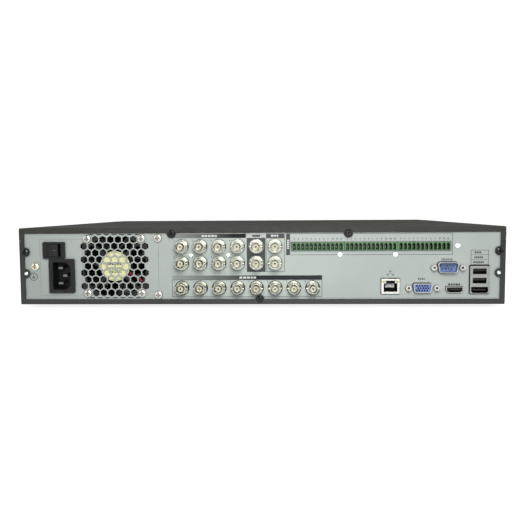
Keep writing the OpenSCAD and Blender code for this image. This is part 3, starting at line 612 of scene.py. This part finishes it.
# Table beside the stacked data sockets
usb_x0, _, _, usb_x1, _, usb_top = span("usb_shell")
table = (usb_x0 + 0.8, usb_top + 0.9, usb_x1 - 0.4, usb_top + 14.2)
lines.outline(*table, LINE)
for share in (1 / 3, 2 / 3):
    z = table[1] + (table[3] - table[1]) * share
    lines.rect(table[0] + LINE + 0.02, z, table[2] - LINE - 0.02, z + 0.25)
on_panel(lines, "print_lines", INK_DARK)

# Marks that stand for words, dark on the panel
words = Print()
for row in range(3):
    z = table[1] + (table[3] - table[1]) * row / 3 + 1.4
    words.marks(table[0] + 3.2 - 0.9 * (row == 0), z, 1.7, word(row, 6 - row))
vga_x, vga_z = middle("vga_shell")
serial_x, serial_z = middle("serial_shell")
hdmi_x, hdmi_z = middle("hdmi_shell")
rj_x, rj_z = middle("rj45_shell")
words.marks(hdmi_x - 5.6, hdmi_z + 3.9, 1.7, word(9, 5, 1.9), 0.5)
voice_x = bnc_x(MIC_COLUMN)
words.marks(voice_x - 3.4, HEAD_Z0 + 0.95, 1.9, word(11, 4, 1.3))
on_panel(words, "print_words_dark", INK_DARK)

# Paler marks: the terminals' numbers, the D sockets' names and the network symbol
words = Print()
words.marks(vga_x - 3.5, vga_z + 6.8, 2.3, word(7, 4, 1.4), 0.4)
words.marks(serial_x - 5.4, serial_z + 5.9, 2.3, word(8, 6, 1.4), 0.4)
for name in ("terminal_block_1", "terminal_block_2", "terminal_block_3"):
    for way in range(TERM_WAYS):
        x = middle(name)[0] + (way - (TERM_WAYS - 1) / 2) * TERM_PITCH
        figures = 2 if way >= 9 else 1
        words.marks(x - 0.5, TERM_NUMBER_Z, 1.5, word(name + str(way), figures, 0.7), 0.3)
for dx, dz in ((-0.9, 4.2), (-3.3, 1.0), (1.5, 1.0)):
    words.rect(rj_x + dx, rj_z + 8.6 + dz, rj_x + dx + 1.8, rj_z + 8.6 + dz + 1.4)
words.rect(rj_x - 0.12, rj_z + 11.6, rj_x + 0.12, rj_z + 12.75)
words.rect(rj_x - 2.5, rj_z + 11.3, rj_x + 2.5, rj_z + 11.55)
on_panel(words, "print_words_grey", INK_GREY)

# Light marks on the dark bars
words = Print()
words.marks(-52.5, HEAD_Z0 + 1.05, 1.75, word(21, 5, 2.3), 0.75)
words.marks(out_left + 4.6, HEAD_Z0 + 1.05, 1.75, word(22, 3, 1.9), 0.6)
words.marks(-18.5, VIDEO_HEAD_Z0 + 1.0, 1.75, word(23, 5, 2.3), 0.75)
for step in range(5):
    z = 50.2 + step * 1.75
    words.rect(term_x0 - 3.9, z, term_x0 - 2.0, z + 1.25)
on_panel(words, "print_words_light", INK_LIGHT, 0.05)

# Earth mark in its ring
earth_x, earth_z = middle("earth_screw")
earth_x -= 1.9
earth_z -= 9.2
mark = Print().ring(earth_x, earth_z, 3.7, 3.22)
mark.rect(earth_x - 0.25, earth_z + 0.05, earth_x + 0.25, earth_z + 2.3)
for drop, half in ((0.5, 2.0), (1.35, 1.35), (2.2, 0.7)):
    mark.rect(earth_x - half, earth_z - drop, earth_x + half, earth_z - drop + 0.46)
on_panel(mark, "print_earth", INK_DARK)


DIGIT_T = 0.025


def digits(name, entries, size_mm, y, material):
    """Numbers set on a face that looks to -Y: entries are (text, x, z) in millimetres."""
    parts = []
    for index, (text, x, z) in enumerate(entries):
        curve = bpy.data.curves.new(f"{name}_{index}", "FONT")
        curve.body = text
        curve.size = size_mm * MM
        curve.extrude = DIGIT_T * MM
        curve.align_x = "CENTER"
        mesh = drawn_mesh(f"{name}_{index}", curve)
        mesh.transform(Matrix.Translation(at(x, y - DIGIT_T, z)) @ UPRIGHT)
        parts.append(mesh)
    return piece(name, joined(parts), material)


def block_mesh(low, high):
    """A box mesh between two corners, in millimetres about the origin."""
    corners = [Vector((x, y, z)) * MM
               for x in (low[0], high[0]) for y in (low[1], high[1]) for z in (low[2], high[2])]
    faces = [(0, 1, 3, 2), (4, 6, 7, 5), (0, 4, 5, 1), (2, 3, 7, 6), (0, 2, 6, 4), (1, 5, 7, 3)]
    mesh = bpy.data.meshes.new("block")
    mesh.from_pydata(corners, [], faces)
    return mesh


def block(low, high):
    """A box mesh between two corners of the rear frame."""
    mesh = block_mesh(low, high)
    mesh.transform(Matrix.Translation(at(0, 0, 0)))
    return mesh


def joined(meshes):
    """One mesh from several."""
    whole = bmesh.new()
    for mesh in meshes:
        whole.from_mesh(mesh)
    made = bpy.data.meshes.new("joined")
    whole.to_mesh(made)
    whole.free()
    return made


numbers = []
for column in range(VIDEO_COUNT):
    numbers.append((str(column + 1), bnc_x(column) - 6.6, VIDEO_Z + 4.9))
for column in range(MIC_COLUMN):
    numbers.append((str(column + 1), bnc_x(column) - 6.9, UPPER_Z + 4.6))
    numbers.append((str(column + 5), bnc_x(column) - 6.9, LOWER_Z + 4.4))
digits("print_numbers", numbers, 2.4, PANEL_Y, INK_DARK)


# ---- fan hub's sticker ----

def sticker_foil():
    s = Shade("sticker_foil", (0.74, 0.73, 0.40), 0.42, 0.05)
    s.tint(s.noise(4, 3), 0.3, 0.7, (0.70, 0.69, 0.36), (0.82, 0.80, 0.48))
    s.gloss(s.noise(1.5, 4), 0.3, 0.7, 0.3, 0.5)
    s.bump(s.noise(3, 2), 0.03, 0.4)
    return s.mat


fan_x, fan_z = middle("fan_frame")
HUB_Y = span("fan_frame")[1] + 0.6
Print().disc(fan_x, fan_z, 13.6, 72).build("fan_sticker", HUB_Y, sticker_foil(),
                                           "black_plastic", 0.1)
marks = Print().ring(fan_x, fan_z, 12.7, 12.35, 72)
marks.marks(fan_x - 7.5, fan_z + 1.0, 2.6, word(31, 6, 2.0), 0.6)
marks.marks(fan_x - 8.5, fan_z - 2.4, 1.3, word(32, 11, 1.1), 0.4)
marks.marks(fan_x - 6, fan_z - 6.2, 1.3, word(33, 8, 1.1), 0.4)
marks.build("fan_sticker_marks", HUB_Y - 0.1, ink("ink_olive", (0.16, 0.17, 0.08)),
            "black_plastic", 0.04)


def wire(name, points, radius_mm, material):
    """A smooth round wire through points of the rear frame."""
    curve = bpy.data.curves.new(name, "CURVE")
    curve.dimensions = "3D"
    curve.bevel_depth = radius_mm * MM
    curve.bevel_resolution = 3
    curve.resolution_u = 8
    spline = curve.splines.new("BEZIER")
    spline.bezier_points.add(len(points) - 1)
    for spot, point in zip(spline.bezier_points, points):
        spot.co = at(*point)
        spot.handle_left_type = spot.handle_right_type = "AUTO"
    mesh = drawn_mesh(name + "_curve", curve)
    for face in mesh.polygons:
        face.use_smooth = True
    return piece(name, mesh, material)


# Two leads from the hub to the frame: steps from the fan's centre
LEAD_R = 0.62
LEAD_GAP = 1.5
LEAD_STEPS = ((11.6, 2.6, -5.4), (17, 2.2, -8.6), (23.4, 2.4, -13), (26.2, 3, -16.4))
maroon = moulded("wire_jacket_dark", (0.12, 0.012, 0.03), 0.4, 0.5, 0.01)
for index, material in enumerate((MATERIALS["wire_jacket"], maroon)):
    wire(f"fan_lead_{index + 1}",
         [(fan_x + dx, HUB_Y + dy, fan_z + dz - index * LEAD_GAP) for dx, dy, dz in LEAD_STEPS],
         LEAD_R, material)

# ---- switch and inlet details ----

# The rocker at rest is tipped ten degrees, and each half of its face falls 0.9 mm in 5.2 mm
ROCKER_PIVOT_Y = 3.7
TILT = math.radians(-10)
FACET = math.atan2(-0.9, 5.2)
switch_x, switch_z = middle("power_switch_body")


def rocker_dash():
    """A thin dash on the rocker's raised half, lying along its face."""
    mesh = block_mesh((0.1, -0.05, -0.22), (3.3, 0.0, 0.22))
    start = Matrix.Translation(Vector((0, -4.6, 0)) * MM) @ Matrix.Rotation(FACET, 4, "Z")
    mesh.transform(Matrix.Translation(at(switch_x, ROCKER_PIVOT_Y, switch_z))
                   @ Matrix.Rotation(TILT, 4, "Z") @ start)
    piece("rocker_dash", mesh, INK_GREY, "switch_rocker")


rocker_dash()


# ---- contact strips on the tongues ----

STRIP_T = 0.12
STRIP_Y = 2.0


def strips(name, tongue_x, tongue_z, count, pitch_mm, width, length):
    """Gold strips on the underside of a socket's tongue."""
    z = tongue_z - STRIP_T
    shapes = []
    for k in range(count):
        x = tongue_x + (k - (count - 1) / 2) * pitch_mm
        shapes.append(block((x - width / 2, STRIP_Y, z),
                            (x + width / 2, STRIP_Y + length, z + STRIP_T)))
    piece(name, joined(shapes), MATERIALS["contact_gold"])


# The undersides of the stack's tongues, from the middle of its shell
USB_UPPER_DZ = 7.65
USB_LOWER_DZ = -0.7
SATA_DX = 0.15
SATA_DZ = -9.85
usb_x, usb_z = middle("usb_shell")
strips("usb_contacts_upper", usb_x, usb_z + USB_UPPER_DZ, 4, 2.5, 1.1, 9)
strips("usb_contacts_lower", usb_x, usb_z + USB_LOWER_DZ, 4, 2.5, 1.1, 9)
strips("sata_contacts", usb_x + SATA_DX, usb_z + SATA_DZ, 7, 1.27, 0.6, 9)
strips("hdmi_contacts", hdmi_x, span("hdmi_tongue")[2], 9, 1.0, 0.4, 8)

NETWORK_WAYS = 8
NETWORK_PITCH = 1.02


def network_springs():
    """Eight contact springs that rise towards the back of the network socket's cavity."""
    slope = Matrix.Rotation(math.radians(60), 4, "X")
    springs = []
    for way in range(NETWORK_WAYS):
        x = rj_x + (way - (NETWORK_WAYS - 1) / 2) * NETWORK_PITCH
        mesh = block_mesh((-0.37, 0, -0.1), (0.37, 4.2, 0.1))
        mesh.transform(Matrix.Translation(at(x, 3.2, rj_z - 1.4)) @ slope)
        springs.append(mesh)
    piece("network_springs", joined(springs), MATERIALS["spring_steel"])


network_springs()


# ---- operator's front ----

def icon(name, shape):
    """A light shape on a key's face, which moves with the key."""
    shape.build(name + "_icon", span(name)[4], INK_LIGHT, "key_plastic", 0.05, 1, name + "_cap")


def triangle(x, z, size, turn):
    """An arrow head that points turn degrees up from +X."""
    corners = [math.radians(turn + a) for a in (0, 130, 230)]
    return Print().loop([(x + size * math.cos(a), z + size * math.sin(a)) for a in corners])


for name, turn in (("up_key", 90), ("down_key", 270), ("left_key", 0), ("right_key", 180)):
    x, z = middle(name)
    icon(name, triangle(x, z, 2.4, turn))
x, z = middle("enter_key")
icon("enter_key", Print().ring(x, z, 3.2, 2.6))
x, z = middle("escape_key")
icon("escape_key", Print().rect(x - 2.2, z - 0.4, x + 2.2, z + 0.4))
x, z = middle("function_key")
shape = Print()
for step in (-1, 0, 1):
    shape.disc(x + step * 2.2, z, 0.6, 20)
icon("function_key", shape)
x, z = middle("power_key")
shape = Print()
arc = [math.radians(a) for a in range(125, 416, 10)]
outer = [(x + 4 * math.cos(a), z + 4 * math.sin(a)) for a in arc]
inner = [(x + 3.2 * math.cos(a), z + 3.2 * math.sin(a)) for a in reversed(arc)]
shape.loop(outer + inner)
shape.rect(x - 0.4, z + 0.8, x + 0.4, z + 4.6)
icon("power_key", shape)

# Ticks round the shuttle ring, ten degrees apart, longer at rest and at both limits
TICK_R = 26.6
TICK_HALF = 0.2
dial_x, dial_z = middle("jog_dial")
ticks = Print()
for k in range(-7, 8):
    a = math.radians(90 + k * 10)
    reach = 28.4 if k % 7 else 29.6
    ux, uz = math.cos(a), math.sin(a)
    ticks.loop([(dial_x + ux * r + uz * s, dial_z + uz * r - ux * s)
                for r, s in ((TICK_R, -TICK_HALF), (reach, -TICK_HALF),
                             (reach, TICK_HALF), (TICK_R, TICK_HALF))])
ticks.build("print_shuttle_ticks", FRONT_Y, INK_LIGHT, "bezel_plastic", 0.05, 1)


# ---- floor, light and camera ----

def stage_floor():
    s = Shade("floor", (0.6, 0.6, 0.6), 0.7, Specular_IOR_Level=0.2)
    s.tint(s.noise(400, 3), 0.3, 0.7, (0.58, 0.58, 0.58), (0.62, 0.62, 0.62))
    s.bsdf.inputs["Emission Color"].default_value = (1, 1, 1, 1)
    s.bsdf.inputs["Emission Strength"].default_value = 0.84
    mesh = bpy.data.meshes.new("floor")
    half = 12
    mesh.from_pydata([(-half, -half, 0), (half, -half, 0), (half, half, 0), (-half, half, 0)],
                     [], [(0, 1, 2, 3)])
    mesh.materials.append(s.mat)
    made = bpy.data.objects.new("floor", mesh)
    bpy.context.scene.collection.objects.link(made)
    # Its glow fills the picture's white without lighting the case from below
    made.visible_diffuse = False


def softbox(name, place, target, width, height, power):
    data = bpy.data.lights.new(name, "AREA")
    data.shape = "RECTANGLE"
    data.size = width
    data.size_y = height
    data.energy = power
    made = bpy.data.objects.new(name, data)
    made.location = place
    made.rotation_euler = (Vector(target) - Vector(place)).to_track_quat("-Z", "Y").to_euler()
    made.visible_camera = False
    bpy.context.scene.collection.objects.link(made)


def studio():
    """White backdrop for the camera; a dim room, brighter overhead, for the light."""
    world = bpy.data.worlds.new("studio")
    bpy.context.scene.world = world
    world.use_nodes = True
    g = Graph(world.node_tree)
    way = g.axes(g.add("ShaderNodeTexCoord").outputs["Generated"])
    rays = g.add("ShaderNodeLightPath").outputs
    rise = g.spread(way["Z"], 0.0, 0.7, 0.09, 0.30)
    # Behind the camera and at both sides, the room is brighter in reflections only
    front = g.spread(way["Y"], -0.1, -0.6, 0.0, 0.22)
    side = g.spread(g.math("ABSOLUTE", way["X"]), 0.35, 0.7, 0.0, 1.6)
    glow = g.math("ADD", front, side)
    strength = g.math("MULTIPLY_ADD", glow, rays["Is Glossy Ray"], rise)
    room = g.feed(g.nodes["Background"], Color=(0.98, 1, 1, 1), Strength=strength)
    backdrop = g.feed(g.add("ShaderNodeBackground"), Color=(1, 1, 1, 1), Strength=1.05)
    mix = g.add("ShaderNodeMixShader")
    g.links.new(rays["Is Camera Ray"], mix.inputs[0])
    g.links.new(room.outputs[0], mix.inputs[1])
    g.links.new(backdrop.outputs[0], mix.inputs[2])
    g.links.new(mix.outputs[0], g.nodes["World Output"].inputs["Surface"])
    softbox("key", (0.05, -0.74, 0.29), (0.03, -0.19, 0.03), 0.26, 0.4, 4.1)
    softbox("top", (0.1, 0.2, 1.6), (0, 0, 0), 1.2, 0.9, 6)


def camera():
    """The photograph's view: 0.6 m behind the connector panel, slightly above and to one side."""
    data = bpy.data.cameras.new("camera")
    data.sensor_width = 36
    data.lens = 45.40
    made = bpy.data.objects.new("camera", data)
    yaw, pitch, roll = (math.radians(a) for a in (2.031, -4.562, 0.3285))
    turn = (Matrix.Rotation(yaw, 4, "Z") @ Matrix.Rotation(pitch, 4, "X")
            @ Matrix.Rotation(roll, 4, "Y") @ UPRIGHT)
    made.matrix_world = Matrix.Translation(at(23.807, -596.764, 85.689)) @ turn
    bpy.context.scene.collection.objects.link(made)
    bpy.context.scene.camera = made


stage_floor()
studio()
camera()
bpy.context.scene.view_settings.view_transform = "Standard"
